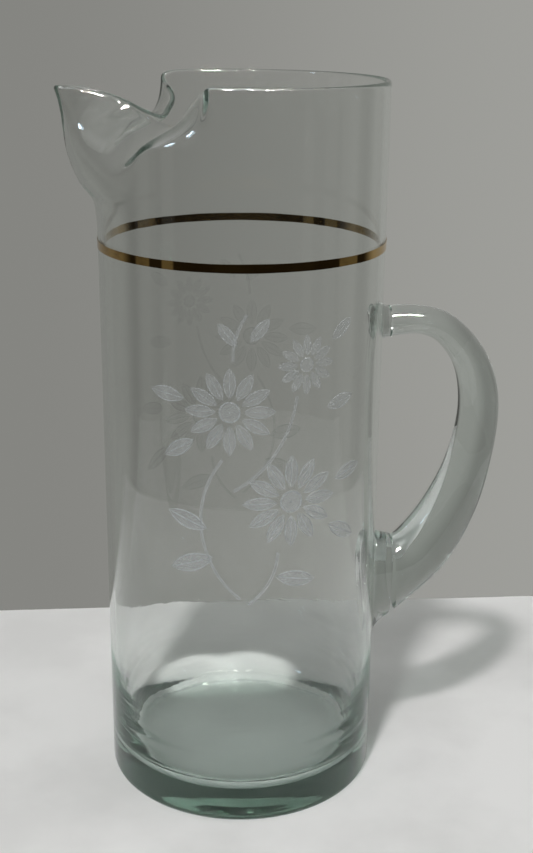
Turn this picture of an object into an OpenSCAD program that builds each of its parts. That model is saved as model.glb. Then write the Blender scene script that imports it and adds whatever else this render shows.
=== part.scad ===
// Cocktail pitcher: a straight glass cylinder with a heavy floor and a pinched pouring lip,
// a drawn glass handle sealed to the wall at both ends, a fired gold band and two white
// enamel flower sprays, one on each side. Millimetres, +Z up, origin at the middle of the
// foot, handle along +X, spout along -X.

/* [Body] */
// Outer diameter of the straight body
body_d = 95; // [84:1:112]
// Height from the table to the rim
body_h = 245; // [225:1:275]
// Wall thickness at the rim
rim_wall = 1.9; // [1.6:0.1:2.6]
// Wall thickness where the wall meets the floor
foot_wall = 4.4; // [3.2:0.1:6]
// Height over which the wall thins from the floor up
taper_h = 31; // [22:1:60]
// Power of the thinning: the higher it is, the more of it happens low down
taper_power = 1.8; // [1.2:0.1:3]
// Thickness of the glass floor
floor_t = 8.7; // [6:0.1:12]
// Inside corner radius between the floor and the wall
floor_fillet = 9.5; // [5:0.5:14]
// Outside corner radius at the table
foot_fillet = 2.8; // [1:0.2:5]

/* [Pouring lip] */
// Height of the shaped part of the wall below the rim
lip_h = 48; // [44:1:52]
// How far the tip of the spout stands out from the wall
spout_reach = 12.2; // [9:0.2:15]
// How far each side of the spout is pinched toward the other
pinch_depth = 9; // [6:0.5:10]
// How far the throat of the spout dips below the rim
throat_drop = 12.3; // [9:0.1:15]
// Angle from the spout's middle to where the rim is round again
fold_angle = 78; // [74:1:84]

/* [Handle] */
// Distance from the lip's lower edge down to the upper seal's middle
upper_seal_drop = 33; // [25:1:42]
// Height of the lower seal's middle
lower_seal_z = 66; // [60:1:75]
// How far the handle's middle line stands out from the wall
handle_reach = 37; // [32:0.5:44]
// Handle thickness at the hand, seen from the side
grip_t = 15; // [12:0.5:17]
// Handle width at the hand, seen from the end
grip_w = 15.5; // [12:0.5:18]
// Thickness of the upper seal
upper_seal_t = 3.2; // [2:0.2:5]
// Height and width of the upper seal on the wall
upper_seal_size = [12.5, 15.5]; // [9:0.5:20]
// Thickness of the lower seal
lower_seal_t = 7; // [4:0.5:9]
// Height and width of the lower seal on the wall
lower_seal_size = [42, 22]; // [18:0.5:48]
// Clearance between the handle, its seals and the wall
seal_gap = 0.06; // [0.04:0.01:0.15]

/* [Gold band] */
// Distance from the lip's lower edge down to the band's middle
band_drop = 4; // [3:0.5:13]
// Width of the band
band_w = 2.7; // [1.5:0.1:5]
// Thickness of the band and of the enamel
film_t = 0.15; // [0.08:0.01:0.3]
// Clearance under the band and the enamel
film_gap = 0.02; // [0.01:0.01:0.05]

/* [Enamel spray] */
// Distance from the band's middle down to the top of the spray
spray_drop = 12; // [8:1:18]
// Height of the spray
spray_h = 98; // [80:1:100]
// Width of the spray along the wall
spray_w = 66; // [56:1:70]
// Number of petals on a blossom
petals = 12; // [9:1:14]
// Width of a stem line
stem_w = 0.9; // [0.6:0.1:1.4]

/* [Hidden] */
$fn = 96;

body_r = body_d / 2;
lip_z = body_h - lip_h;
upper_seal_z = lip_z - upper_seal_drop;
band_z = lip_z - band_drop;
spray_z = band_z - spray_drop - spray_h / 2;
overrun = rim_wall;

// The lip's skin stands this far proud of the body's wall where the two join, and its skirt
// runs down into the wall and leans in by seam_lean
seam_step = 0.1;
seam_lean = 0.4;
lip_r = body_r + seam_step;
lip_wall = rim_wall + 2 * seam_step;

// Rim of the pouring lip from the spout's tip round to the plain rim. Each row holds the
// share of fold_angle, of spout_reach (outward), of pinch_depth (sideways) and of
// throat_drop (downward).
tip_shares = [
    [0, 1, 0, 0.2],
    [0.05, 0.75, 0.08, 0.21],
    [0.1, 0.34, -0.05, 0.24],
    [0.18, -0.21, -0.49, 0.37],
    [0.26, -0.61, -0.88, 0.55],
    [0.35, -0.88, -1.01, 0.8],
    [0.45, -1.1, -0.92, 1],
    [0.54, -1.02, -0.76, 0.84]
];
// The hand-made fold is straight on the -Y side and curls outward at its end on the other
straight_fold_shares = [[0.64, -0.8, -0.59, 0.55], [0.74, -0.54, -0.34, 0.25], [0.82, -0.29, -0.13, 0.09]];
curled_fold_shares = [[0.64, -0.8, -0.59, 0.57], [0.74, -0.15, -0.1, 0.15], [0.82, 0, -0.05, 0.03]];
plain_rim_shares = [[0.9, 0, 0, 0], [1, 0, 0, 0]];
straight_rim_shares = concat(tip_shares, straight_fold_shares, plain_rim_shares);
curled_rim_shares = concat(tip_shares, curled_fold_shares, plain_rim_shares);
// Profile of the spout's throat: share of the lip's height, share of spout_reach
throat_shares = [[0, 0], [0.14, 0.03], [0.22, 0.09], [0.275, 0.21], [0.34, 0.41], [0.43, 0.565],
    [0.51, 0.675], [0.6, 0.755], [0.7, 0.8], [0.76, 0.8225], [0.82, 0.845], [0.87, 0.875],
    [0.92, 0.91], [0.96, 0.95], [1, 1]];
// Share of the lip's height where the pinch starts at the spout, and share of the plain rim's
// height where it starts at the folds and forms a pocket under the rim
pinch_start_share = 0.5;
pocket_start_share = 0.64;
// Shares of fold_angle where the pinch begins to form the pocket, and where it does so fully
pocket_angle_shares = [0.3, 0.6];
// Share of the throat row that follows the pocket's lower edge at the folds
edge_row_share = 0.7;
// Share of fold_angle that the spout bulges over
bulge_share = 0.5;
steps_per_row = 3;
round_columns = 40;
rim_turns = [45, 90, 135];
taper_steps = 16;

// Middle line of the handle from the upper seal down: share of handle_reach outward, of the
// height between the seals, of grip_t and of grip_w
handle_shares = [
    [0.15, 1.003, 0.7, 0.88],
    [0.35, 1.005, 0.65, 0.87],
    [0.555, 0.985, 0.685, 0.89],
    [0.71, 0.943, 0.72, 0.9],
    [0.88, 0.862, 0.8, 0.92],
    [0.98, 0.755, 0.925, 0.96],
    [1, 0.628, 0.985, 0.99],
    [0.93, 0.47, 1.07, 1.03],
    [0.82, 0.337, 1.23, 1.1],
    [0.635, 0.2, 1.38, 1.19],
    [0.43, 0.1, 1.5, 1.26]
];
// Size of a seal's outer end as a share of its size on the wall, and how its side curves in
upper_end_shares = [0.86, 0.88];
lower_end_shares = [0.76, 0.93];
// How much narrower the lower seal is at its tail, and how far its outer end sits above its middle
lower_tail_share = 0.3;
lower_lift_share = 0.06;
seal_disc_shares = [0.3, 0.65];
seal_side_shares = [0, 0.3, 0.65, 1];
ring_sides = 24;

// Enamel spray, seen from outside: across as a share of half spray_w, up as a share of half
// spray_h. Blossoms add their radius as a share of motif_size.
blossom_shares = [[0.3, -0.29, 0.47], [-0.3, 0.33, 0.43], [0.44, 0.62, 0.29]];
// Leaves add their direction in degrees and their length as a share of motif_size
leaf_shares = [
    [0.9, -0.57, -30, 0.4], [0.97, -0.16, 14, 0.36], [0.36, -0.84, -12, 0.42],
    [-0.72, -0.42, 160, 0.42], [-0.68, -0.72, 200, 0.46], [-0.92, 0.42, 172, 0.36],
    [-0.8, 0.07, 212, 0.36], [0.84, 0.34, 12, 0.34], [-0.32, 0.83, 130, 0.28],
    [-0.02, 0.86, 50, 0.28], [0.84, 0.82, 35, 0.3]
];
// Stems run from one point to another, and bow sideways by a share of their length
stem_shares = [
    [[-0.12, -1], [0.17, -0.64], -0.12], [[-0.2, -0.96], [-0.37, 0.01], 0.2],
    [[-0.26, -0.2], [0.34, 0.42], -0.12], [[-0.27, 0.66], [-0.14, 0.96], 0.08]
];
leaf_w_share = 0.4;
petal_w_share = 0.82;
petal_root_share = 0.31;
blossom_eye_share = 0.24;
// Inner end of a cutting prism as a share of the body's radius
prism_start_share = 0.88;

// Point on a smooth curve through rows of numbers; before is the row ahead of the first one
function along(rows, k, before) =
    let (i = min(floor(k), len(rows) - 2), f = k - i,
        b = rows[i], c = rows[i + 1],
        a = i == 0 ? before : rows[i - 1],
        d = i + 2 < len(rows) ? rows[i + 2] : 2 * c - b)
    b + (c - a) * f / 2 + (2 * a - 5 * b + 4 * c - d) * f * f / 2
        + (3 * b - a - 3 * c + d) * f * f * f / 2;
function unit(v) = v / norm(v);
function ahead(row) = [-row[0], row[1], -row[2], row[3]];

// Columns of the lip, each an angle from the spout, an outward, a sideways and a downward move
fold_columns = (len(straight_rim_shares) - 1) * steps_per_row;
rim_sizes = [fold_angle, spout_reach, pinch_depth, throat_drop];
function fold_column(rows, i) =
    let (row = along(rows, i / steps_per_row, ahead(rows[1])))
    [for (n = [0:3]) row[n] * rim_sizes[n]];
round_step = (360 - 2 * fold_angle) / (round_columns + 1);
lip_columns = concat(
    [for (i = [fold_columns:-1:1]) ahead(fold_column(curled_rim_shares, i))],
    [for (i = [0:fold_columns]) fold_column(straight_rim_shares, i)],
    [for (i = [1:round_columns]) [fold_angle + i * round_step, 0, 0, 0]]);

plain_h = lip_h - lip_wall / 2;
function ease(share) = let (x = min(1, max(0, share))) x * x * (3 - 2 * x);
// How far the pinch forms a pocket at an angle, and the pocket's lower edge as a share of the height
function pocket(angle) =
    let (first = pocket_angle_shares[0], full = pocket_angle_shares[1])
    ease((abs(angle) / fold_angle - first) / (full - first));
function pocket_edge(column) = pocket_start_share * plain_h / (plain_h - column[3]);
// Share of the lip's height that a throat row has at a column
function row_share(column, share) =
    let (edge = edge_row_share + (pocket_edge(column) - edge_row_share) * pocket(column[0]))
    share < edge_row_share
        ? share * edge / edge_row_share
        : edge + (1 - edge) * (share - edge_row_share) / (1 - edge_row_share);
// Part of the pinch that is reached at a share of the lip's height: the spout has a long curve,
// and the folds have a short one
function pinch(column, t) =
    let (fold = pocket(column[0]),
        start = pinch_start_share + (pocket_edge(column) - pinch_start_share) * fold,
        x = max(0, (t - start) / (1 - start)))
    (1 - fold) * x * x * (3 - x) / 2 + fold * ease(x);
function bulge(angle) = let (x = abs(angle) / (fold_angle * bulge_share)) x < 1 ? pow(cos(90 * x), 2) : 0;
function lip_point(column, row) =
    let (t = row_share(column, row[0]), bow = bulge(column[0]) * spout_reach,
        out = lookup(t, throat_shares) * bow + pinch(column, t) * (column[1] - bow),
        side = pinch(column, t) * column[2])
    [-lip_r * cos(column[0]) - out, -lip_r * sin(column[0]) - side, lip_z + t * (plain_h - column[3])];
lip_grid = [for (column = lip_columns) [for (row = throat_shares) lip_point(column, row)]];
lip_rows = len(throat_shares);
function lip_at(c, r) = lip_grid[(c + len(lip_grid)) % len(lip_grid)][r];
function lip_up(c, r) = unit(lip_at(c, min(r + 1, lip_rows - 1)) - lip_at(c, max(r - 1, 0)));
function lip_out(c, r) = unit(cross(lip_at(c + 1, r) - lip_at(c - 1, r), lip_up(c, r)));
// Closed outline of the glass at one column: up the outside, over the rim, down the inside
function lip_outline(c) =
    let (top = lip_rows - 1, middle = lip_at(c, top) - lip_out(c, top) * lip_wall / 2)
    concat(
        [lip_at(c, 0) - lip_out(c, 0) * seam_lean - [0, 0, overrun]],
        [for (r = [0:top]) lip_at(c, r)],
        [for (a = rim_turns) middle + (lip_out(c, top) * cos(a) + lip_up(c, top) * sin(a)) * lip_wall / 2],
        [for (r = [top:-1:0]) lip_at(c, r) - lip_out(c, r) * lip_wall],
        [lip_at(c, 0) - lip_out(c, 0) * (lip_wall - seam_lean) - [0, 0, overrun]]);

// Skin over closed outlines that follow each other round a loop
module loop_skin(outlines) {
    n = len(outlines[0]);
    m = len(outlines);
    polyhedron(
        points = [for (o = outlines) each o],
        faces = [for (c = [0:m - 1], r = [0:n - 1])
            let (a = c * n + r, b = c * n + (r + 1) % n,
                d = ((c + 1) % m) * n + r, e = ((c + 1) % m) * n + (r + 1) % n)
            each [[a, b, e], [a, e, d]]]);
}

// Skin over rings in a row, closed at both ends by a fan
module end_skin(rings, first, last) {
    n = len(rings[0]);
    m = len(rings);
    end = n * m + 1;
    polyhedron(
        points = concat([first], [for (r = rings) each r], [last]),
        faces = concat(
            [for (i = [0:n - 1]) [0, 1 + i, 1 + (i + 1) % n]],
            [for (k = [0:m - 2], i = [0:n - 1])
                let (a = 1 + k * n + i, b = 1 + k * n + (i + 1) % n)
                each [[a, a + n, b + n], [a, b + n, b]]],
            [for (i = [0:n - 1]) [end, 1 + (m - 1) * n + (i + 1) % n, 1 + (m - 1) * n + i]]));
}

module vessel() {
    color([0.8, 0.89, 0.86, 0.4])
        union() {
            rotate_extrude()
                difference() {
                    body_outline();
                    hollow_outline();
                }
            loop_skin([for (c = [0:len(lip_columns) - 1]) lip_outline(c)]);
        }
}

module body_outline() {
    square([body_r - foot_fillet, lip_z]);
    translate([0, foot_fillet])
        square([body_r, lip_z - foot_fillet]);
    translate([body_r - foot_fillet, foot_fillet])
        circle(foot_fillet);
}

// The wall leans in by wall_lean where it meets the floor's round corner at corner_z, and thins
// from there up to the rim's wall
wall_lean = atan((foot_wall - rim_wall) * taper_power / taper_h);
corner_z = floor_t + floor_fillet * (1 - sin(wall_lean));
function wall_at(z) =
    rim_wall + (foot_wall - rim_wall) * pow(max(0, 1 - (z - corner_z) / taper_h), taper_power);

module hollow_outline() {
    corner_r = body_r - foot_wall - floor_fillet * cos(wall_lean);
    top = lip_z + overrun;
    translate([0, floor_t])
        square([corner_r, floor_fillet]);
    intersection() {
        translate([corner_r, floor_t + floor_fillet])
            circle(floor_fillet);
        square([body_r, corner_z]);
    }
    polygon(concat(
        [[0, corner_z]],
        [for (i = [0:taper_steps])
            let (z = corner_z + taper_h * i / taper_steps)
            [body_r - wall_at(z), z]],
        [[body_r - rim_wall, top], [0, top]]));
}

// Ring on a cylinder about the body's axis; way is 1 to start at the top and -1 at the bottom
function wall_ring(r, middle_z, size, way, tail = 0) =
    [for (i = [0:ring_sides - 1])
        let (a = 360 * i / ring_sides,
            turn = size[1] / 2 * sin(a) * (1 - tail * cos(a)) / r * 180 / PI)
        [r * cos(turn), r * sin(turn), middle_z + way * size[0] / 2 * cos(a)]];

upper_end_size = [for (n = [0, 1]) upper_seal_size[n] * upper_end_shares[n]];
lower_end_size = [for (n = [0, 1]) lower_seal_size[n] * lower_end_shares[n]];
lower_end_z = lower_seal_z + lower_lift_share * lower_seal_size[0];
upper_end_r = body_r + seal_gap + upper_seal_t;
lower_end_r = body_r + seal_gap + lower_seal_t;

// Flared pad of glass between the wall and an end of the handle
module seal(thick, size, end_size, wall_z, end_z, tail) {
    start_r = body_r + seal_gap;
    end_skin(
        concat(
            [for (s = seal_disc_shares) wall_ring(start_r, wall_z, size * s, -1, tail)],
            [for (v = seal_side_shares)
                let (spread = pow(1 - v, 2))
                wall_ring(start_r + v * thick, end_z + (wall_z - end_z) * spread,
                    end_size + (size - end_size) * spread, -1, tail)],
            [for (s = [1, 0]) wall_ring(start_r + thick, end_z, end_size * seal_disc_shares[s], -1, tail)]),
        [start_r, 0, wall_z], [start_r + thick, 0, end_z]);
}

module upper_handle_seal() {
    color([0.72, 0.85, 0.8, 0.6])
        seal(upper_seal_t, upper_seal_size, upper_end_size, upper_seal_z, upper_seal_z, 0);
}

module lower_handle_seal() {
    color([0.72, 0.85, 0.8, 0.6])
        seal(lower_seal_t, lower_seal_size, lower_end_size, lower_seal_z, lower_end_z, lower_tail_share);
}

seal_rise = upper_seal_z - lower_seal_z;
function handle_row(k) = along(handle_shares, k, 2 * handle_shares[0] - handle_shares[1]);
function handle_middle(row) =
    [body_r + row[0] * handle_reach, 0, lower_seal_z + row[1] * seal_rise];
function handle_ring(k) =
    let (row = handle_row(k), nudge = 1 / (2 * steps_per_row), last = len(handle_shares) - 1,
        way = unit(handle_middle(handle_row(min(k + nudge, last)))
            - handle_middle(handle_row(max(k - nudge, 0)))),
        out = [-way[2], 0, way[0]])
    [for (i = [0:ring_sides - 1])
        let (a = 360 * i / ring_sides)
        handle_middle(row) + out * row[2] * grip_t / 2 * cos(a) + [0, row[3] * grip_w / 2 * sin(a), 0]];

module handle() {
    top_r = upper_end_r + seal_gap;
    low_r = lower_end_r + seal_gap;
    color([0.74, 0.86, 0.82, 0.6])
        end_skin(
            concat(
                [for (s = concat(seal_disc_shares, 1))
                    wall_ring(top_r, upper_seal_z, upper_end_size * s, 1)],
                [for (i = [0:(len(handle_shares) - 1) * steps_per_row]) handle_ring(i / steps_per_row)],
                [for (s = [1, seal_disc_shares[1], seal_disc_shares[0]])
                    wall_ring(low_r, lower_end_z, lower_end_size * s, -1, lower_tail_share)]),
            [top_r, 0, upper_seal_z], [low_r, 0, lower_end_z]);
}

module gold_band() {
    color([0.72, 0.53, 0.2])
        rotate_extrude()
            translate([body_r + film_gap, band_z - band_w / 2])
                square([film_t, band_w]);
}

// Lays a flat outline on the outside of the wall as a thin film
module film(across, up) {
    intersection() {
        translate([0, 0, spray_z - spray_h])
            difference() {
                cylinder(h = 2 * spray_h, r = body_r + film_gap + film_t);
                translate([0, 0, -overrun])
                    cylinder(h = 2 * spray_h + 2 * overrun, r = body_r + film_gap);
            }
        rotate([0, 0, across / body_r * 180 / PI - 90])
            translate([body_r * prism_start_share, 0, spray_z + up])
                rotate([90, 0, 90])
                    linear_extrude(height = body_r * (1 - prism_start_share) + overrun)
                        children();
    }
}

// Pointed oval between two arcs
module leaf_outline(long, wide) {
    arc_r = (long * long + wide * wide) / (4 * wide);
    intersection() {
        translate([0, arc_r - wide / 2])
            circle(arc_r);
        translate([0, wide / 2 - arc_r])
            circle(arc_r);
    }
}

module blossom_outline(r) {
    long = r * (1 - petal_root_share);
    middle_r = r * (1 + petal_root_share) / 2;
    circle(r * blossom_eye_share);
    for (i = [0:petals - 1])
        rotate(360 * i / petals)
            translate([middle_r, 0])
                leaf_outline(long, 2 * PI * middle_r / petals * petal_w_share);
}

// Thin arc of the given width between two points that lie on the x axis
module stem_outline(long, bow) {
    arc_r = (long * long / 4 + bow * bow) / (2 * bow);
    intersection() {
        translate([0, bow - arc_r])
            difference() {
                circle(arc_r + stem_w / 2);
                circle(arc_r - stem_w / 2);
            }
        translate([-long / 2, -stem_w])
            square([long, bow + 2 * stem_w]);
    }
}

half_size = [spray_w / 2, spray_h / 2];
// Blossoms and leaves keep their form, and their size follows the tighter side of the spray
motif_share = 0.675;
motif_size = min(half_size[0], half_size[1] * motif_share);
function spray_point(share) = [share[0] * half_size[0], share[1] * half_size[1]];

module blossoms() {
    for (b = blossom_shares)
        film(spray_point(b)[0], spray_point(b)[1])
            blossom_outline(b[2] * motif_size);
}

module leaves() {
    for (l = leaf_shares)
        let (long = l[3] * motif_size)
        film(spray_point(l)[0], spray_point(l)[1])
            rotate(l[2])
                leaf_outline(long, long * leaf_w_share);
}

module stems() {
    for (s = stem_shares)
        let (from = spray_point(s[0]), to = spray_point(s[1]), way = to - from, middle = (from + to) / 2)
        film(middle[0], middle[1])
            rotate(atan2(way[1], way[0]))
                mirror([0, s[2] < 0 ? 1 : 0])
                    stem_outline(norm(way), abs(s[2]) * norm(way));
}

module front_blossoms() { color([0.9, 0.92, 0.92]) blossoms(); }
module front_leaves() { color([0.86, 0.89, 0.89]) leaves(); }
module front_stems() { color([0.95, 0.96, 0.96]) stems(); }
module back_blossoms() { color([0.9, 0.92, 0.92]) rotate([0, 0, 180]) blossoms(); }
module back_leaves() { color([0.86, 0.89, 0.89]) rotate([0, 0, 180]) leaves(); }
module back_stems() { color([0.95, 0.96, 0.96]) rotate([0, 0, 180]) stems(); }

vessel();
handle();
upper_handle_seal();
lower_handle_seal();
gold_band();
front_blossoms();
front_leaves();
front_stems();
back_blossoms();
back_leaves();
back_stems();
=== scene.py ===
"""Cocktail pitcher in clear glass with a gold band and white enamel sprays, dressed for a picture.

Shapes are worked out in millimetres in the part's own frame: +Z up, origin at the middle of the
foot, handle along +X and spout along -X. Meshes hold metres.
"""

import logging
import math
from bisect import bisect_left
from dataclasses import dataclass, replace
from enum import Enum
from functools import lru_cache, reduce
from typing import Any, Callable, Sequence

import bpy
from mathutils import Matrix, Vector


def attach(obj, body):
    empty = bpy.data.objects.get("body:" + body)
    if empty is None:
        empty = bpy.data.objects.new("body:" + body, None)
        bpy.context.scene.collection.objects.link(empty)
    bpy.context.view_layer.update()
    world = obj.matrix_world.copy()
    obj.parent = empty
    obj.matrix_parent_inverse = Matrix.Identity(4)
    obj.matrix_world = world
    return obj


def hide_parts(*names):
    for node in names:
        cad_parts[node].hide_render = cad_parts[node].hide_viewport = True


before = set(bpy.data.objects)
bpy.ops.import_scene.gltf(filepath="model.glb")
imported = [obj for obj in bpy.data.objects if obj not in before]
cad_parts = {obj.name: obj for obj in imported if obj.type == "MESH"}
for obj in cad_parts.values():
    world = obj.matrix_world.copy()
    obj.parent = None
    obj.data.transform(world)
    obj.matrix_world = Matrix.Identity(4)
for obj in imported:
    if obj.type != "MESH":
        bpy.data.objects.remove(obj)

MM = 0.001
WELD = 0.004 * MM
BODY = "root"
JOINT = "fused"
LOG = logging.getLogger("cocktail_pitcher")

# Clearance of the gold and the enamel from the wall
FILM_GAP = 0.02
# Shares of an end's size where the handle and its seals have rings on their end faces
FACE_SHARES = (0.0, 0.35, 0.7, 0.94)
# How often light may turn inside the glass, and off glossy surfaces
GLASS_BOUNCES = 32
GLOSSY_BOUNCES = 12

Piece = bpy.types.Object
Material = bpy.types.Material
Socket = bpy.types.NodeSocket
Links = dict[str | int, Any]
Row = Sequence[float]
Rows = Sequence[Row]
Pair = tuple[float, float]
Triple = tuple[float, float, float]
Colour = tuple[float, float, float, float]
Place = Callable[[float, float], Vector]
Outline = list[Pair]


class Side(Enum):
    """Side of the body that an enamel spray is on; the value is its azimuth in degrees."""

    FRONT = -90.0
    BACK = 90.0


class Fold(Enum):
    """One of the two hand-made folds beside the spout; the value is the sign of its columns."""

    STRAIGHT = 1
    CURLED = -1


class Motif(Enum):
    """Kind of enamel island in a spray; the value is the last word of its piece's name."""

    BLOSSOM = "blossoms"
    LEAF = "leaves"
    STEM = "stems"


class LampUse(Enum):
    """What a lamp does: light matt surfaces, or show as a bright spot in glass and gold."""

    FLOOD = "flood"
    SPARKLE = "sparkle"


def along(rows: Rows, k: float, before: Row | None = None) -> list[float]:
    """Finds a point on the smooth curve that runs through rows of numbers.

    Args:
        rows: The rows, in order along the curve.
        k: Place along the curve, counted in rows.
        before: Row ahead of the first one, if the curve doesn't just run straight on.

    Returns:
        The numbers at that place.
    """
    i = min(int(k), len(rows) - 2)
    f = k - i
    b, c = rows[i], rows[i + 1]
    ahead = before or [2 * q - r for q, r in zip(b, c)]
    a = rows[i - 1] if i > 0 else ahead
    d = rows[i + 2] if i + 2 < len(rows) else [2 * r - q for q, r in zip(b, c)]
    return [
        q + (r - p) * f / 2 + (2 * p - 5 * q + 4 * r - s) * f**2 / 2 + (3 * q - p - 3 * r + s) * f**3 / 2
        for p, q, r, s in zip(a, b, c, d)
    ]


def smooth(x: float) -> float:
    """Eases from 0 to 1 as x does, and holds beyond."""
    x = min(1.0, max(0.0, x))
    return x * x * (3 - 2 * x)


def polar(radius: float, degrees: float, z: float) -> Vector:
    """Gives the point at a radius, an azimuth and a height."""
    turn = math.radians(degrees)
    return Vector((radius * math.cos(turn), radius * math.sin(turn), z))


def rotation(degrees: float, axis: str = "Z") -> Matrix:
    """Gives a turn about one of the axes."""
    return Matrix.Rotation(math.radians(degrees), 4, axis)


def arc(centre: Pair, radius: float, start: float, end: float, steps: int) -> Outline:
    """Lists points along an arc.

    Args:
        centre: Middle of the arc's circle.
        radius: Radius of the circle.
        start: Angle of the first point, in degrees.
        end: Angle of the last point, in degrees.
        steps: Number of steps from first to last.

    Returns:
        The points, both ends among them.
    """
    turns = [math.radians(start + (end - start) * i / steps) for i in range(steps + 1)]
    return [(centre[0] + radius * math.cos(a), centre[1] + radius * math.sin(a)) for a in turns]


def start_edit() -> None:
    """Enters edit mode on the active piece with all of it selected."""
    bpy.ops.object.mode_set(mode="EDIT")
    bpy.ops.mesh.select_all(action="SELECT")


def named(name: str) -> Piece:
    """Names the piece that was just added.

    Args:
        name: Its name.

    Returns:
        The piece.
    """
    piece = bpy.context.active_object
    piece.name = piece.data.name = name
    return piece


def take(piece: Piece) -> None:
    """Makes a piece the only selected one, and the active one.

    Args:
        piece: The piece.
    """
    bpy.ops.object.select_all(action="DESELECT")
    piece.select_set(True)
    bpy.context.view_layer.objects.active = piece


def weld() -> None:
    """Merges the doubles of the piece in edit mode, turns its faces outward and leaves edit mode."""
    bpy.ops.mesh.select_all(action="SELECT")
    bpy.ops.mesh.remove_doubles(threshold=WELD)
    bpy.ops.mesh.normals_make_consistent(inside=False)
    bpy.ops.object.mode_set(mode="OBJECT")


def turned(name: str, outline: Outline, steps: int) -> Piece:
    """Turns an outline once round the Z axis, as on a lathe.

    Args:
        name: Name of the piece.
        outline: Points of radius and height. Ends on the axis close the piece.
        steps: Number of steps round.

    Returns:
        The new piece.
    """
    bpy.ops.object.select_all(action="DESELECT")
    bpy.ops.mesh.primitive_plane_add(size=MM)
    piece = named(name)
    start_edit()
    bpy.ops.mesh.merge(type="CENTER")
    bpy.ops.transform.translate(value=(outline[0][0] * MM, 0, outline[0][1] * MM))
    for (r, z), (next_r, next_z) in zip(outline, outline[1:]):
        step = ((next_r - r) * MM, 0, (next_z - z) * MM)
        bpy.ops.mesh.extrude_vertices_move(TRANSFORM_OT_translate={"value": step})
    bpy.ops.mesh.select_all(action="SELECT")
    bpy.ops.mesh.spin(steps=steps, angle=2 * math.pi, center=(0, 0, 0), axis=(0, 0, 1))
    weld()
    return piece


def patch(name: str, columns: int, rows: int, place: Place) -> Piece:
    """Adds a grid and lays each of its points where a rule says.

    Args:
        name: Name of the piece.
        columns: Number of faces across.
        rows: Number of faces along.
        place: Gives the point in millimetres for shares across and along, from 0 to 1.

    Returns:
        The new piece, welded, with the shares as its UV map.
    """
    bpy.ops.object.select_all(action="DESELECT")
    bpy.ops.mesh.primitive_grid_add(x_subdivisions=columns, y_subdivisions=rows, size=2)
    piece = named(name)
    for vertex in piece.data.vertices:
        vertex.co = place((vertex.co.x + 1) / 2, (vertex.co.y + 1) / 2) * MM
    start_edit()
    weld()
    return piece


def modify(piece: Piece, kind: str, **settings: Any) -> None:
    """Gives a piece a modifier and applies it.

    Args:
        piece: The piece.
        kind: Type of the modifier.
        settings: Values to set on it.
    """
    take(piece)
    bpy.ops.object.modifier_add(type=kind)
    modifier = piece.modifiers[-1]
    for name, value in settings.items():
        setattr(modifier, name, value)
    bpy.ops.object.modifier_apply(modifier=modifier.name)


def subdivide(piece: Piece, levels: int) -> None:
    """Smooths a piece by subdivision, and shades it smooth."""
    modify(piece, "SUBSURF", levels=levels, render_levels=levels)
    bpy.ops.object.shade_smooth()


def mark_joints(piece: Piece, rows: int, face_rows: float) -> None:
    """Marks both ends of a lofted piece as fused to the next piece.

    Args:
        piece: The piece, whose UV map holds shares across and along.
        rows: Number of rows of faces along it.
        face_rows: How many of them lie on the end face, at each end.
    """
    marks = piece.data.attributes.new(JOINT, "FLOAT", "POINT").data
    for loop, corner in zip(piece.data.loops, piece.data.uv_layers.active.data):
        row = corner.uv.y * rows
        marks[loop.vertex_index].value = float(row < face_rows or row > rows - face_rows)


def joined(name: str, parts: list[Piece]) -> Piece:
    """Joins parts into one piece.

    Args:
        name: Name of the piece.
        parts: The parts.

    Returns:
        The joined piece.
    """
    bpy.ops.object.select_all(action="DESELECT")
    for part in parts:
        part.select_set(True)
    bpy.context.view_layer.objects.active = parts[0]
    bpy.ops.object.join()
    return named(name)


def copied(piece: Piece) -> Piece:
    """Copies a piece with a mesh of its own.

    Args:
        piece: The piece to copy.

    Returns:
        The copy.
    """
    copy = piece.copy()
    copy.data = piece.data.copy()
    bpy.context.scene.collection.objects.link(copy)
    return copy


def settle(piece: Piece, finish: Material, slot: str, *nodes: str) -> None:
    """Gives a piece its finish and its place in the part.

    Args:
        piece: The finished piece.
        finish: Its material.
        slot: The record's material slot.
        nodes: The solids that it stands for.
    """
    piece.data.materials.clear()
    piece.data.materials.append(finish)
    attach(piece, BODY)
    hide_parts(*nodes)
    LOG.info("%s: %d faces, %s", piece.name, len(piece.data.polygons), slot)


@dataclass(frozen=True)
class Grain:
    """Cloudy pattern in a finish.

    Attributes:
        scale: How fine the pattern is, in clouds per metre.
        detail: Number of finer layers in it.
        stretch: How much finer it is along each axis.
    """

    scale: float
    detail: float
    stretch: Triple = (1, 1, 1)


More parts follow.
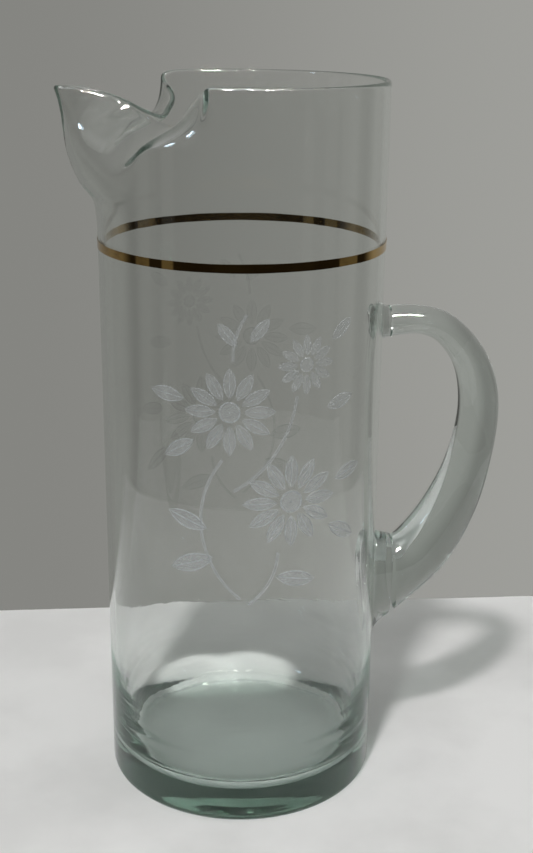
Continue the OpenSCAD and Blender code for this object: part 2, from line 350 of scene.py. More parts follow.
class Wiring:
    """Node tree of one material or of the world, with short ways to add and join nodes."""

    def __init__(self, owner: Material | bpy.types.World) -> None:
        """Clears the owner's node tree.

        Args:
            owner: The material or the world.
        """
        owner.use_nodes = True
        self.tree = owner.node_tree
        self.tree.nodes.clear()

    def node(self, kind: str, links: Links | None = None, **settings: Any) -> bpy.types.Node:
        """Adds a node.

        Args:
            kind: Type of the node, without its leading ShaderNode.
            links: Socket or constant for each named or numbered input.
            settings: Values to set on the node itself.

        Returns:
            The new node.
        """
        node = self.tree.nodes.new("ShaderNode" + kind)
        for name, value in settings.items():
            setattr(node, name, value)
        for name, value in (links or {}).items():
            if isinstance(value, Socket):
                self.tree.links.new(value, node.inputs[name])
            else:
                node.inputs[name].default_value = value
        return node

    def math(self, operation: str, *values: Any) -> Socket:
        """Adds a Math node and returns its result."""
        return self.node("Math", dict(enumerate(values)), operation=operation).outputs[0]

    def product(self, *values: Any) -> Socket:
        """Multiplies values, and returns the result."""
        return reduce(lambda one, other: self.math("MULTIPLY", one, other), values)

    def ramp(self, value: Socket, span: Pair, ends: Pair = (0.0, 1.0)) -> Socket:
        """Maps a value smoothly from one span to another.

        Args:
            value: The value to map.
            span: Where the ramp starts and where it ends.
            ends: Result at the start and before, and at the end and beyond.

        Returns:
            The mapped value.
        """
        links = dict(zip(("Value", "From Min", "From Max", "To Min", "To Max"), (value, *span, *ends)))
        return self.node("MapRange", links, interpolation_type="SMOOTHSTEP").outputs["Result"]

    def mix(self, share: Socket, first: Socket | Colour, second: Socket | Colour) -> Socket:
        """Mixes a share of the second colour into the first, and returns the result."""
        return self.node("MixRGB", {0: share, 1: first, 2: second}).outputs[0]

    def noise(self, coords: Socket, grain: Grain) -> Socket:
        """Adds a noise texture.

        Args:
            coords: The coordinates that it follows.
            grain: Its pattern.

        Returns:
            The texture's value.
        """
        vector = self.node("Mapping", {"Vector": coords, "Scale": grain.stretch}).outputs[0]
        links = {"Vector": vector, "Scale": grain.scale, "Detail": grain.detail}
        return self.node("TexNoise", links).outputs["Fac"]

    def bump(self, relief: Socket, strength: Socket | float, height: float) -> Socket:
        """Makes a surface uneven by a relief as high as given, in metres, and returns its normal."""
        return self.node("Bump", {"Height": relief, "Strength": strength, "Distance": height}).outputs[0]

    def object_coords(self) -> Socket:
        """Returns the piece's own coordinates, in metres."""
        return self.node("TexCoord").outputs["Object"]

    def axes(self, vector: Socket) -> list[Socket]:
        """Splits a vector into X, Y and Z."""
        return list(self.node("SeparateXYZ", {0: vector}).outputs)


class Finish:
    """Finish of a piece; each kind wires nodes of its own."""

    name: str

    def wire(self, wiring: Wiring) -> None:
        """Adds the finish's nodes to an empty node tree."""
        raise NotImplementedError

    def material(self) -> Material:
        """Builds a material with the finish.

        Returns:
            The material.
        """
        material = bpy.data.materials.new(self.name)
        self.wire(Wiring(material))
        return material


@dataclass(frozen=True)
class ClearGlass(Finish):
    """Fire-polished soda glass, green where it is thick, with faint tooling streaks round it.

    Attributes:
        name: Name of the material.
        surface: Share of light that passes one polished surface.
        tint: Colour that a long way through the glass takes on.
        density: How fast it takes that colour on, per metre.
        ior: Index of refraction.
        smear: Roughness of the faintest smears left by wiping.
        smears: Pattern of the smears.
        smear_span: Values of that pattern where a smear starts and is full.
        streaks: Pattern of the streaks.
        streak_height: Height of the streaks, in metres.
        streak_top: Height where the strong streaks above the foot end, in metres.
        streak_rest: Share of their strength that is left above that.
        lamp_tint: Share of lamp light that passes one surface of the wall.
        foot_tint: Share that passes one surface of the foot, which gathers light.
        foot_top: Height where the foot ends, in metres.
        most_turns: Number of turns that light takes inside the glass before it leaves.
        joints: Pads that are fused to the wall.
        joint_share: Share of a pad's height and width that is fused.
        joint_depth: How far under a pad the wall's skin counts as fused, in millimetres.
    """

    name: str
    surface: Colour = (0.96, 0.963, 0.957, 1)
    tint: Colour = (0.2, 0.38, 0.3, 1)
    density: float = 31.0
    ior: float = 1.5
    smear: float = 0.012
    smears: Grain = Grain(60, 3, (1, 1, 0.35))
    smear_span: Pair = (0.5, 0.8)
    streaks: Grain = Grain(420, 2, (0.06, 0.06, 1))
    streak_height: float = 0.00004
    streak_top: float = 0.06
    streak_rest: float = 0.06
    lamp_tint: Colour = (0.56, 0.58, 0.57, 1)
    foot_tint: Colour = (1, 1, 1, 1)
    foot_top: float = 0.02
    most_turns: float = 10.5
    joints: tuple["Seal", ...] = ()
    joint_share: float = 0.98
    joint_depth: float = 0.5

    def fused(self, wiring: Wiring, coords: Socket) -> Socket:
        """Tells where the glass goes on into the next piece.

        Args:
            wiring: The material's nodes.
            coords: The piece's own coordinates.

        Returns:
            More than 0.5 on fused faces.
        """
        share = wiring.node("Attribute", attribute_name=JOINT).outputs["Fac"]
        for seal in self.joints:
            share = wiring.math("MAXIMUM", share, self.under_pad(wiring, coords, seal))
        return share

    def under_pad(self, wiring: Wiring, coords: Socket, seal: "Seal") -> Socket:
        """Tells which part of the wall's skin lies under a pad.

        Args:
            wiring: The material's nodes.
            coords: The piece's own coordinates.
            seal: The pad.

        Returns:
            1 under the pad, and 0 elsewhere.
        """
        x, y, z = wiring.axes(coords)
        high, wide = (self.joint_share * s * MM for s in seal.size)
        level = wiring.math("MULTIPLY_ADD", z, -2 / high, 2 * seal.wall_z * MM / high)
        round_off = wiring.math("MULTIPLY_ADD", wiring.product(level, level), -1.0, 1.0)
        narrow = wiring.math("MULTIPLY_ADD", level, -seal.tail * wide / 2, wide / 2)
        off = wiring.product(y, y)
        inside = wiring.math("GREATER_THAN", wiring.product(narrow, narrow, round_off), off)
        radius = wiring.math("SQRT", wiring.math("ADD", wiring.product(x, x), off))
        outside = wiring.math("GREATER_THAN", radius, (seal.inner_r - self.joint_depth) * MM)
        ahead = wiring.math("GREATER_THAN", x, 0.0)
        return wiring.product(inside, outside, ahead)

    def wire(self, wiring: Wiring) -> None:
        """Wires the glass.

        Args:
            wiring: The material's nodes.
        """
        coords = wiring.object_coords()
        smears, streaks = wiring.noise(coords, self.smears), wiring.noise(coords, self.streaks)
        height = wiring.axes(coords)[2]
        strength = wiring.ramp(height, (self.streak_top / 2, self.streak_top), (1, self.streak_rest))
        glass = wiring.node("BsdfPrincipled", {
            "Base Color": self.surface, "IOR": self.ior, "Transmission Weight": 1.0,
            "Roughness": wiring.ramp(smears, self.smear_span, (0, self.smear)),
            "Normal": wiring.bump(streaks, strength, self.streak_height)})
        path = wiring.node("LightPath").outputs
        passing = wiring.math("MAXIMUM", path["Is Shadow Ray"], path["Is Diffuse Ray"])
        wall = wiring.ramp(height, (self.foot_top / 2, self.foot_top))
        shade = wiring.mix(wall, self.foot_tint, self.lamp_tint)
        lamp_light = wiring.node("BsdfTransparent", {"Color": shade})
        shown = wiring.node("MixShader", {0: passing, 1: glass.outputs[0], 2: lamp_light.outputs[0]})
        trapped = wiring.math("GREATER_THAN", path["Ray Depth"], self.most_turns)
        hidden = wiring.math("MAXIMUM", self.fused(wiring, coords), trapped)
        clear = wiring.node("BsdfTransparent")
        surface = wiring.node("MixShader", {
            0: wiring.math("GREATER_THAN", hidden, 0.5), 1: shown.outputs[0], 2: clear.outputs[0]})
        volume = wiring.node("VolumeAbsorption", {"Color": self.tint, "Density": self.density})
        wiring.node("OutputMaterial", {"Surface": surface.outputs[0], "Volume": volume.outputs[0]})


@dataclass(frozen=True)
class GoldLustre(Finish):
    """Fired bright gold, brushed on by hand while the vessel turned.

    Attributes:
        name: Name of the material.
        thick: Colour where the gold lies thick.
        thin: Colour where it is worn or thin.
        polish: Roughness where it is brightest.
        wear: Roughness where it is worn.
        patches: Pattern of the worn patches.
        lines: Pattern of the brush lines.
        line_share: How much the lines count beside the patches.
        worn_span: Values of both together where wear starts and is full.
        line_strength: Strength of the lines' relief.
        line_height: Height of the lines, in metres.
    """

    name: str = "gold_lustre"
    thick: Colour = (0.5, 0.33, 0.115, 1)
    thin: Colour = (0.24, 0.14, 0.05, 1)
    polish: float = 0.03
    wear: float = 0.13
    patches: Grain = Grain(90, 4)
    lines: Grain = Grain(2600, 2, (0.08, 0.08, 1))
    line_share: float = 0.35
    worn_span: Pair = (0.6, 0.95)
    line_strength: float = 0.15
    line_height: float = 0.00002

    def wire(self, wiring: Wiring) -> None:
        """Wires the gold.

        Args:
            wiring: The material's nodes.
        """
        coords = wiring.object_coords()
        patches = wiring.noise(coords, self.patches)
        lines = wiring.noise(coords, self.lines)
        worn = wiring.ramp(wiring.math("MULTIPLY_ADD", lines, self.line_share, patches), self.worn_span)
        gold = wiring.node("BsdfPrincipled", {
            "Base Color": wiring.mix(worn, self.thick, self.thin), "Metallic": 1.0,
            "Roughness": wiring.ramp(worn, (0, 1), (self.polish, self.wear)),
            "Normal": wiring.bump(lines, self.line_strength, self.line_height)})
        wiring.node("OutputMaterial", {"Surface": gold.outputs[0]})


@dataclass(frozen=True)
class FrostedEnamel(Finish):
    """Thin white enamel, printed as fine dots that let some light through, with denser outlines.

    Attributes:
        name: Name of the material.
        white: Colour of the enamel.
        fill: Share of the surface that the dots cover between the outlines.
        line: Share that they cover on an outline or a vein.
        thin_top: How much of that is left where the print is thinnest, at its top.
        fade: Heights where the print starts to thin and is thinnest, in metres.
        roughness: Roughness of the matt surface.
        outline: Shares from the middle to the edge where an outline starts and is full.
        midrib: Shares where the middle line starts to end and has ended.
        vein_slant: How far the veins slant forward on their way to the edge.
        vein_turns: How close the veins are, in radians along the whole length.
        vein_span: Heights of their wave where a vein starts and is full.
        vein_share: How much a vein is drawn beside an outline.
        dot_scale: How fine the dots are, per metre.
        dot_span: Distances from a dot's middle where it starts to end and has ended.
        dot_cover: How much a dot and the room between dots cover.
        dot_strength: Strength of the dots' relief.
        dot_height: Height of the dots, in metres.
        clouds: Pattern of the paler and dimmer patches.
        cloud_span: Values of that pattern where it is dimmest and palest.
        cloud_dim: Brightness of the dimmest patches.
    """

    name: str = "white_enamel"
    white: Colour = (0.57, 0.61, 0.63, 1)
    fill: float = 0.23
    line: float = 0.62
    thin_top: float = 0.6
    fade: Pair = (0.105, 0.17)
    roughness: float = 0.6
    outline: Pair = (0.8, 0.9)
    midrib: Pair = (0.03, 0.09)
    vein_slant: float = 0.22
    vein_turns: float = 48.0
    vein_span: Pair = (0.8, 0.97)
    vein_share: float = 0.5
    dot_scale: float = 1900.0
    dot_span: Pair = (0.25, 0.75)
    dot_cover: Pair = (1.15, 0.7)
    dot_strength: float = 0.2
    dot_height: float = 0.00002
    clouds: Grain = Grain(160, 3)
    cloud_span: Pair = (0.35, 0.7)
    cloud_dim: float = 0.92

    def wire(self, wiring: Wiring) -> None:
        """Wires the enamel.

        Args:
            wiring: The material's nodes.
        """
        long_share, wide_share, _ = wiring.axes(wiring.node("TexCoord").outputs["UV"])
        coords = wiring.object_coords()
        edge = wiring.math("ABSOLUTE", wiring.math("MULTIPLY_ADD", wide_share, 2.0, -1.0))
        slant = wiring.math("MULTIPLY_ADD", edge, self.vein_slant, long_share)
        wave = wiring.math("SINE", wiring.math("MULTIPLY", slant, self.vein_turns))
        veins = wiring.ramp(wave, self.vein_span, (0, self.vein_share))
        inner = wiring.math("MAXIMUM", wiring.ramp(edge, self.midrib, (1, 0)), veins)
        drawn = wiring.math("MAXIMUM", wiring.ramp(edge, self.outline), inner)
        printed = wiring.ramp(drawn, (0, 1), (self.fill, self.line))
        dots = wiring.node("TexVoronoi", {"Vector": coords, "Scale": self.dot_scale}).outputs["Distance"]
        stipple = wiring.ramp(dots, self.dot_span, self.dot_cover)
        thinning = wiring.ramp(wiring.axes(coords)[2], self.fade, (1, self.thin_top))
        tone = wiring.ramp(wiring.noise(coords, self.clouds), self.cloud_span, (self.cloud_dim, 1))
        colour = wiring.node("MixRGB", {0: 1.0, 1: tone, 2: self.white}, blend_type="MULTIPLY")
        enamel = wiring.node("BsdfPrincipled", {
            "Base Color": colour.outputs[0], "Roughness": self.roughness,
            "Alpha": wiring.product(printed, stipple, thinning),
            "Normal": wiring.bump(dots, self.dot_strength, self.dot_height)})
        wiring.node("OutputMaterial", {"Surface": enamel.outputs[0]})


@dataclass(frozen=True)
class PaleFloor(Finish):
    """Plain matt floor, pale and faintly mottled.

    Attributes:
        name: Name of the material.
        light: Colour of the paler patches.
        dark: Colour of the darker patches.
        mottle: Pattern of the patches.
        mottle_span: Values of that pattern where it is darkest and palest.
        roughness: Roughness of the matt surface.
    """

    name: str = "pale_floor"
    light: Colour = (0.8, 0.8, 0.79, 1)
    dark: Colour = (0.7, 0.7, 0.69, 1)
    mottle: Grain = Grain(14, 5)
    mottle_span: Pair = (0.35, 0.65)
    roughness: float = 0.6

    def wire(self, wiring: Wiring) -> None:
        """Wires the floor's finish.

        Args:
            wiring: The material's nodes.
        """
        share = wiring.ramp(wiring.noise(wiring.object_coords(), self.mottle), self.mottle_span)
        floor = wiring.node("BsdfPrincipled", {
            "Base Color": wiring.mix(share, self.dark, self.light), "Roughness": self.roughness,
            "Specular IOR Level": 0.0})
        wiring.node("OutputMaterial", {"Surface": floor.outputs[0]})


@dataclass(frozen=True)
class PouringLip:
    """Shaped top of the wall: a spout with a pinched fold on each side of it.

    Angles run from the spout's middle, in degrees, and are positive toward -Y. A column is a
    place round the rim, counted in steps from the spout's middle.

    Attributes:
        base_z: Height where the shaping starts.
        height: Height of the shaped part.
        radius: Outer radius of the wall.
        wall: Thickness of the wall.
        spout_reach: How far the spout's tip stands out.
        pinch_depth: How far each side of the spout is pinched.
        throat_drop: How far the rim dips beside the spout.
        fold_angle: Angle from the spout's middle to where the rim is round again.
        columns: Number of columns all round.
        steps_per_row: Columns between two rows of the rim's shares.
        slide_share: Share of the height over which the columns move from even to shaped places.
        pinch_start_share: Share of the height where the pinch starts at the spout.
        pocket_start_share: Share of the plain rim's height where it starts at the folds.
        pocket_angle_shares: Shares of fold_angle where the pocket starts and where it is full.
        edge_row_share: Share of the row that follows the pocket's lower edge.
        bulge_share: Share of the fold's angle that the spout bulges over.
        tip: Rows of shares of fold_angle, spout_reach, pinch_depth and throat_drop along the rim.
        straight_fold: The rows that follow on the -Y side.
        curled_fold: The rows that follow on the +Y side.
        plain_rim: The last rows of both sides.
        throat: Rows of shares of the height and of spout_reach, up the spout's middle.
    """

    base_z: float = 197.0
    height: float = 48.0
    radius: float = 47.5
    wall: float = 1.9
    spout_reach: float = 12.2
    pinch_depth: float = 9.0
    throat_drop: float = 12.3
    fold_angle: float = 78.0
    columns: int = 144
    steps_per_row: int = 3
    slide_share: float = 0.2
    pinch_start_share: float = 0.5
    pocket_start_share: float = 0.64
    pocket_angle_shares: Pair = (0.3, 0.6)
    edge_row_share: float = 0.7
    bulge_share: float = 0.5
    tip: Rows = (
        (0, 1, 0, 0.2), (0.05, 0.75, 0.08, 0.21), (0.1, 0.34, -0.05, 0.24), (0.18, -0.21, -0.49, 0.37),
        (0.26, -0.61, -0.88, 0.55), (0.35, -0.88, -1.01, 0.8), (0.45, -1.1, -0.92, 1),
        (0.54, -1.02, -0.76, 0.84),
    )
    straight_fold: Rows = (
        (0.64, -0.8, -0.59, 0.55), (0.74, -0.54, -0.34, 0.25), (0.82, -0.29, -0.13, 0.09),
    )
    curled_fold: Rows = ((0.64, -0.8, -0.59, 0.57), (0.74, -0.15, -0.1, 0.15), (0.82, 0, -0.05, 0.03))
    plain_rim: Rows = ((0.9, 0, 0, 0), (1, 0, 0, 0))
    throat: Rows = (
        (0, 0), (0.14, 0.03), (0.22, 0.09), (0.275, 0.21), (0.34, 0.41), (0.43, 0.565), (0.51, 0.675),
        (0.6, 0.755), (0.7, 0.8), (0.76, 0.8225), (0.82, 0.845), (0.87, 0.875), (0.92, 0.91),
        (0.96, 0.95), (1, 1),
    )

    @property
    def rim_z(self) -> float:
        """Height of the middle of the plain rim's round edge."""
        return self.base_z + self.height - self.wall / 2

    def rim_rows(self, fold: Fold) -> Rows:
        """Lists the rim's rows from the spout's tip to the plain rim on one side."""
        middle = self.straight_fold if fold is Fold.STRAIGHT else self.curled_fold
        return self.tip + middle + self.plain_rim

    @lru_cache(maxsize=None)
    def column(self, c: float) -> tuple[float, float, float, float]:
        """Finds how the rim is shaped at a column.

        Args:
            c: The column, positive on the -Y side.

        Returns:
            Its angle, and its moves outward, sideways and down.
        """
        fold = Fold.STRAIGHT if c >= 0 else Fold.CURLED
        rows = self.rim_rows(fold)
        last = (len(rows) - 1) * self.steps_per_row
        beyond = abs(c) - last
        if beyond >= 0:
            step = (180 - self.fold_angle) / (self.columns / 2 - last)
            return fold.value * (self.fold_angle + beyond * step), 0.0, 0.0, 0.0
        second = rows[1]
        before = (-second[0], second[1], -second[2], second[3])
        angle, out, side, drop = along(rows, abs(c) / self.steps_per_row, before)
        return (fold.value * angle * self.fold_angle, out * self.spout_reach,
                fold.value * side * self.pinch_depth, drop * self.throat_drop)

    @lru_cache(maxsize=None)
    def fine_throat(self) -> Rows:
        """Lists closely spaced points of the spout's middle line."""
        steps = 12
        return [along(self.throat, k / steps) for k in range((len(self.throat) - 1) * steps + 1)]

    def reach_at(self, t: float) -> float:
        """Finds the share of spout_reach at a share of the height.

        Args:
            t: Share of the lip's height.

        Returns:
            The share of the spout's reach.
        """
        rows = self.fine_throat()
        i = min(len(rows) - 1, max(1, bisect_left(rows, [t])))
        (low, start), (high, end) = rows[i - 1], rows[i]
        return start + (end - start) * (t - low) / (high - low)

    def skin(self, c: float, t: float) -> Vector:
        """Finds a point on the outer skin.

        Args:
            c: The column.
            t: Share of the lip's height.

        Returns:
            The point.
        """
        shaped, out, side, drop = self.column(c)
        even = c * 360 / self.columns
        angle = even + (shaped - even) * smooth(t / self.slide_share)
        first, full = self.pocket_angle_shares
        pocket = smooth((abs(shaped) / self.fold_angle - first) / (full - first))
        high = self.rim_z - self.base_z
        pocket_edge = self.pocket_start_share * high / (high - drop)
        row = self.edge_row_share
        edge = row + (pocket_edge - row) * pocket
        t = t * edge / row if t < row else edge + (1 - edge) * (t - row) / (1 - row)
        spread = abs(angle) / (self.fold_angle * self.bulge_share)
        bow = self.spout_reach * math.cos(math.pi / 2 * min(1, spread)) ** 2
        start = self.pinch_start_share + (pocket_edge - self.pinch_start_share) * pocket
        x = max(0.0, (t - start) / (1 - start))
        pinch = (1 - pocket) * x**2 * (3 - x) / 2 + pocket * smooth(x)
        point = -polar(self.radius, angle, 0)
        point.x -= self.reach_at(t) * bow + pinch * (out - bow)
        point.y -= pinch * side
        point.z = self.base_z + t * (high - drop)
        return point

    def shaped(self, point: Vector) -> Vector:
        """Moves a point of the straight wall to its place in the lip.

        Args:
            point: A point of the plain turned wall, above base_z.

        Returns:
            The point's place in the shaped lip.
        """
        depth = self.radius - math.hypot(point.x, point.y)
        c = round(math.atan2(-point.y, -point.x) * self.columns / (2 * math.pi))
        t = min(1.0, (point.z - self.base_z) / (self.rim_z - self.base_z))
        nudge = 0.02
        around = self.skin(c + nudge, t) - self.skin(c - nudge, t)
        rise = (self.skin(c, min(1, t + nudge)) - self.skin(c, max(0, t - nudge))).normalized()
        outward = around.cross(rise).normalized()
        return self.skin(c, t) - outward * depth + rise * max(0.0, point.z - self.rim_z)


@dataclass
class Vessel:
    """Blown glass body: a straight wall on a heavy floor, with the pouring lip.

    Attributes:
        lip: The pouring lip.
        pads: The handle's seals, which are fused to the wall.
        foot_wall: Thickness of the wall where it meets the floor.
        taper_h: Height over which the wall thins.
        taper_power: How much of the thinning happens low down.
        floor_t: Thickness of the floor.
        floor_fillet: Radius of the inside corner.
        foot_fillet: Radius of the outside corner.
        push_up: How far the middle of the foot is pushed up off the table.
        push_steps: Steps of the foot over which the push-up fades.
        ripple: Depth of the tooling ripples on the inside above the floor.
        ripple_pitches: Distances between ripples.
        ripple_lobes: How often each set of ripples sways up and down on its way round.
        ripple_sway: How far the ripples sway, in radians of their wave.
        foot_steps: Steps across the flat of the foot.
        corner_steps: Steps round the outside corner.
        wall_steps: Steps up the outside of the wall.
        rim_steps: Steps over the rim.
        inside_steps: Steps down the even part of the inside.
        taper_steps: Steps down the tapered part.
        bend_steps: Steps round the inside corner.
        floor_steps: Steps across the floor.
    """

    lip: PouringLip
    pads: tuple["Seal", ...]
    foot_wall: float = 4.4
    taper_h: float = 31.0
    taper_power: float = 1.8
    floor_t: float = 8.7
    floor_fillet: float = 9.5
    foot_fillet: float = 2.8
    push_up: float = 0.5
    push_steps: float = 8.5
    ripple: float = 0.05
    ripple_pitches: Row = (5.3, 8.7)
    ripple_lobes: Row = (2, 3)
    ripple_sway: float = 0.9
    foot_steps: int = 9
    corner_steps: int = 5
    wall_steps: int = 16
    rim_steps: int = 6
    inside_steps: int = 9
    taper_steps: int = 24
    bend_steps: int = 9
    floor_steps: int = 7

    @property
    def corner_z(self) -> float:
        """Height where the inside corner ends and the wall starts."""
        return self.floor_t + self.floor_fillet * (1 - math.sin(self.lean))

    @property
    def lean(self) -> float:
        """Angle between the wall's inside and the axis at the inside corner, in radians."""
        return math.atan((self.foot_wall - self.lip.wall) * self.taper_power / self.taper_h)

    def wall_at(self, z: float) -> float:
        """Finds the wall's thickness at a height above the inside corner."""
        share = min(1.0, (z - self.corner_z) / self.taper_h)
        return self.lip.wall + (self.foot_wall - self.lip.wall) * (1 - share) ** self.taper_power

    def outline(self) -> Outline:
        """Lists the points of the profile.

        Returns:
            Radius and height of each, from the middle of the foot over the rim to the floor's middle.
        """
        r, wall, base_z = self.lip.radius, self.lip.wall, self.lip.base_z
        flat_r = r - self.foot_fillet
        foot = [
            (flat_r * i / self.foot_steps, self.push_up * (1 - smooth(i / self.push_steps)))
            for i in range(self.foot_steps)
        ]
        corner = arc((flat_r, self.foot_fillet), self.foot_fillet, -90, 0, self.corner_steps)
        shares = [smooth(i / self.wall_steps) for i in range(1, self.wall_steps + 1)]
        outside = [(r, self.foot_fillet + (base_z - self.foot_fillet) * share) for share in shares]
        rows = [along(self.lip.throat, k / 2)[0] for k in range(1, 2 * len(self.lip.throat) - 1)]
        lip_out = [(r, base_z + t * (self.lip.rim_z - base_z)) for t in rows]
        rim = arc((r - wall / 2, self.lip.rim_z), wall / 2, 0, 180, self.rim_steps)[1:-1]
        lip_in = [(r - wall, z) for _, z in reversed(lip_out)]
        taper_z = self.corner_z + self.taper_h
        steps = self.inside_steps
        inside = [(r - wall, base_z + (taper_z - base_z) * i / steps) for i in range(steps + 1)]
        heights = [taper_z - self.taper_h * i / self.taper_steps for i in range(1, self.taper_steps)]
        taper = [(r - self.wall_at(z), z) for z in heights]
        corner_r = r - self.foot_wall - self.floor_fillet * math.cos(self.lean)
        centre = (corner_r, self.floor_t + self.floor_fillet)
        bend = arc(centre, self.floor_fillet, -math.degrees(self.lean), -90, self.bend_steps)
        steps = self.floor_steps
        floor = [(corner_r * i / steps, self.floor_t) for i in reversed(range(steps))]
        return foot + corner + outside + lip_out + rim + lip_in + inside + taper + bend + floor

    def rippled(self, point: Vector) -> Vector:
        """Moves a point of the inside of the foot by the tooling ripples.

        Args:
            point: A point on the inside, below the end of the taper.

        Returns:
            The moved point.
        """
        angle = math.atan2(point.y, point.x)
        fade = smooth((self.corner_z + self.taper_h - point.z) / self.taper_h)
        wave = sum(
            math.sin(2 * math.pi * point.z / pitch + self.ripple_sway * math.sin(lobes * angle + i))
            for i, (pitch, lobes) in enumerate(zip(self.ripple_pitches, self.ripple_lobes))
        )
        share = 1 + self.ripple * wave * fade / self.lip.radius
        return Vector((point.x * share, point.y * share, point.z))

    def build(self) -> Piece:
        """Turns the profile, shapes the lip and ripples the inside.

        Returns:
            The piece.
        """
        piece = turned("vessel_glass_body", self.outline(), self.lip.columns)
        for vertex in piece.data.vertices:
            point = vertex.co / MM
            depth = self.lip.radius - math.hypot(point.x, point.y)
            if point.z > self.lip.base_z:
                vertex.co = self.lip.shaped(point) * MM
            elif self.corner_z < point.z < self.corner_z + self.taper_h and depth > self.lip.wall / 2:
                vertex.co = self.rippled(point) * MM
        subdivide(piece, levels=1)
        return piece

    def dress(self, piece: Piece) -> None:
        """Gives the vessel its glass."""
        settle(piece, ClearGlass("vessel_glass", joints=self.pads).material(), "vessel_glass", "vessel")


@dataclass(frozen=True)
class Seal:
    """Pad of hot glass between the wall and an end of the handle.

    Attributes:
        name: Name of the solid that it stands for.
        wall_z: Height of its middle on the wall.
        thick: Thickness from the wall to the handle.
        size: Height and width on the wall.
        end_shares: Height and width at the handle, as shares of those on the wall.
        tail: How much narrower it is at its lower end, as a share.
        lift_share: How much higher the middle of its outer end is, as a share of its height.
        inner_r: Radius of the face on the wall, which the handle sets.
        side_shares: Shares of the thickness where its side has rings.
        face_rows: Rows of faces on each end face.
        sides: Number of sides round.
    """

    name: str
    wall_z: float
    thick: float
    size: Pair
    end_shares: Pair
    tail: float = 0.0
    lift_share: float = 0.0
    inner_r: float = 0.0
    side_shares: Row = (0.04, 0.3, 0.65, 0.95)
    face_rows: float = 3.6
    sides: int = 32

    @property
    def end_z(self) -> float:
        """Height of the middle of its outer end."""
        return self.wall_z + self.lift_share * self.size[0]

    @property
    def end_size(self) -> Row:
        """Height and width of its outer end."""
        return [share * s for share, s in zip(self.end_shares, self.size)]

    def ring_point(self, r: float, z: float, size: Row, turn: float, way: int = -1) -> Vector:
        """Finds a point of an oval that lies on a cylinder about the body's axis.

        Args:
            r: Radius of the cylinder.
            z: Height of the oval's middle.
            size: Height and width of the oval.
            turn: Angle round the oval, in radians.
            way: 1 to start at the oval's top, -1 at its bottom.

        Returns:
            The point.
        """
        across = size[1] / 2 * math.sin(turn) * (1 - self.tail * math.cos(turn))
        return polar(r, math.degrees(across / r), z + way * size[0] / 2 * math.cos(turn))

    def end_point(self, share: float, turn: float, gap: float, way: int = -1) -> Vector:
        """Finds a point on the oval where the handle meets the seal, at a share of its size."""
        size = [share * s for s in self.end_size]
        return self.ring_point(self.inner_r + self.thick + gap, self.end_z, size, turn, way)

    def build(self) -> Piece:
        """Lofts the pad from the wall outward.

        Returns:
            The piece.
        """
        steps = [(0.0, share) for share in FACE_SHARES]
        steps += [(v, 1.0) for v in self.side_shares]
        steps += [(1.0, share) for share in reversed(FACE_SHARES)]
        last = len(steps) - 1

        def place(across: float, up: float) -> Vector:
            """Lays one point of the pad's skin.

            Args:
                across: Share of the way round.
                up: Share of the way along the loft.

            Returns:
                The point.
            """
            v, share = steps[round(up * last)]
            spread = (1 - v) ** 2
            z = self.end_z + (self.wall_z - self.end_z) * spread
            size = [share * (e + (s - e) * spread) for s, e in zip(self.size, self.end_size)]
            return self.ring_point(self.inner_r + v * self.thick, z, size, 2 * math.pi * across)

        piece = patch(self.name + "_glass", self.sides, last, place)
        subdivide(piece, levels=2)
        mark_joints(piece, last, self.face_rows)
        return piece


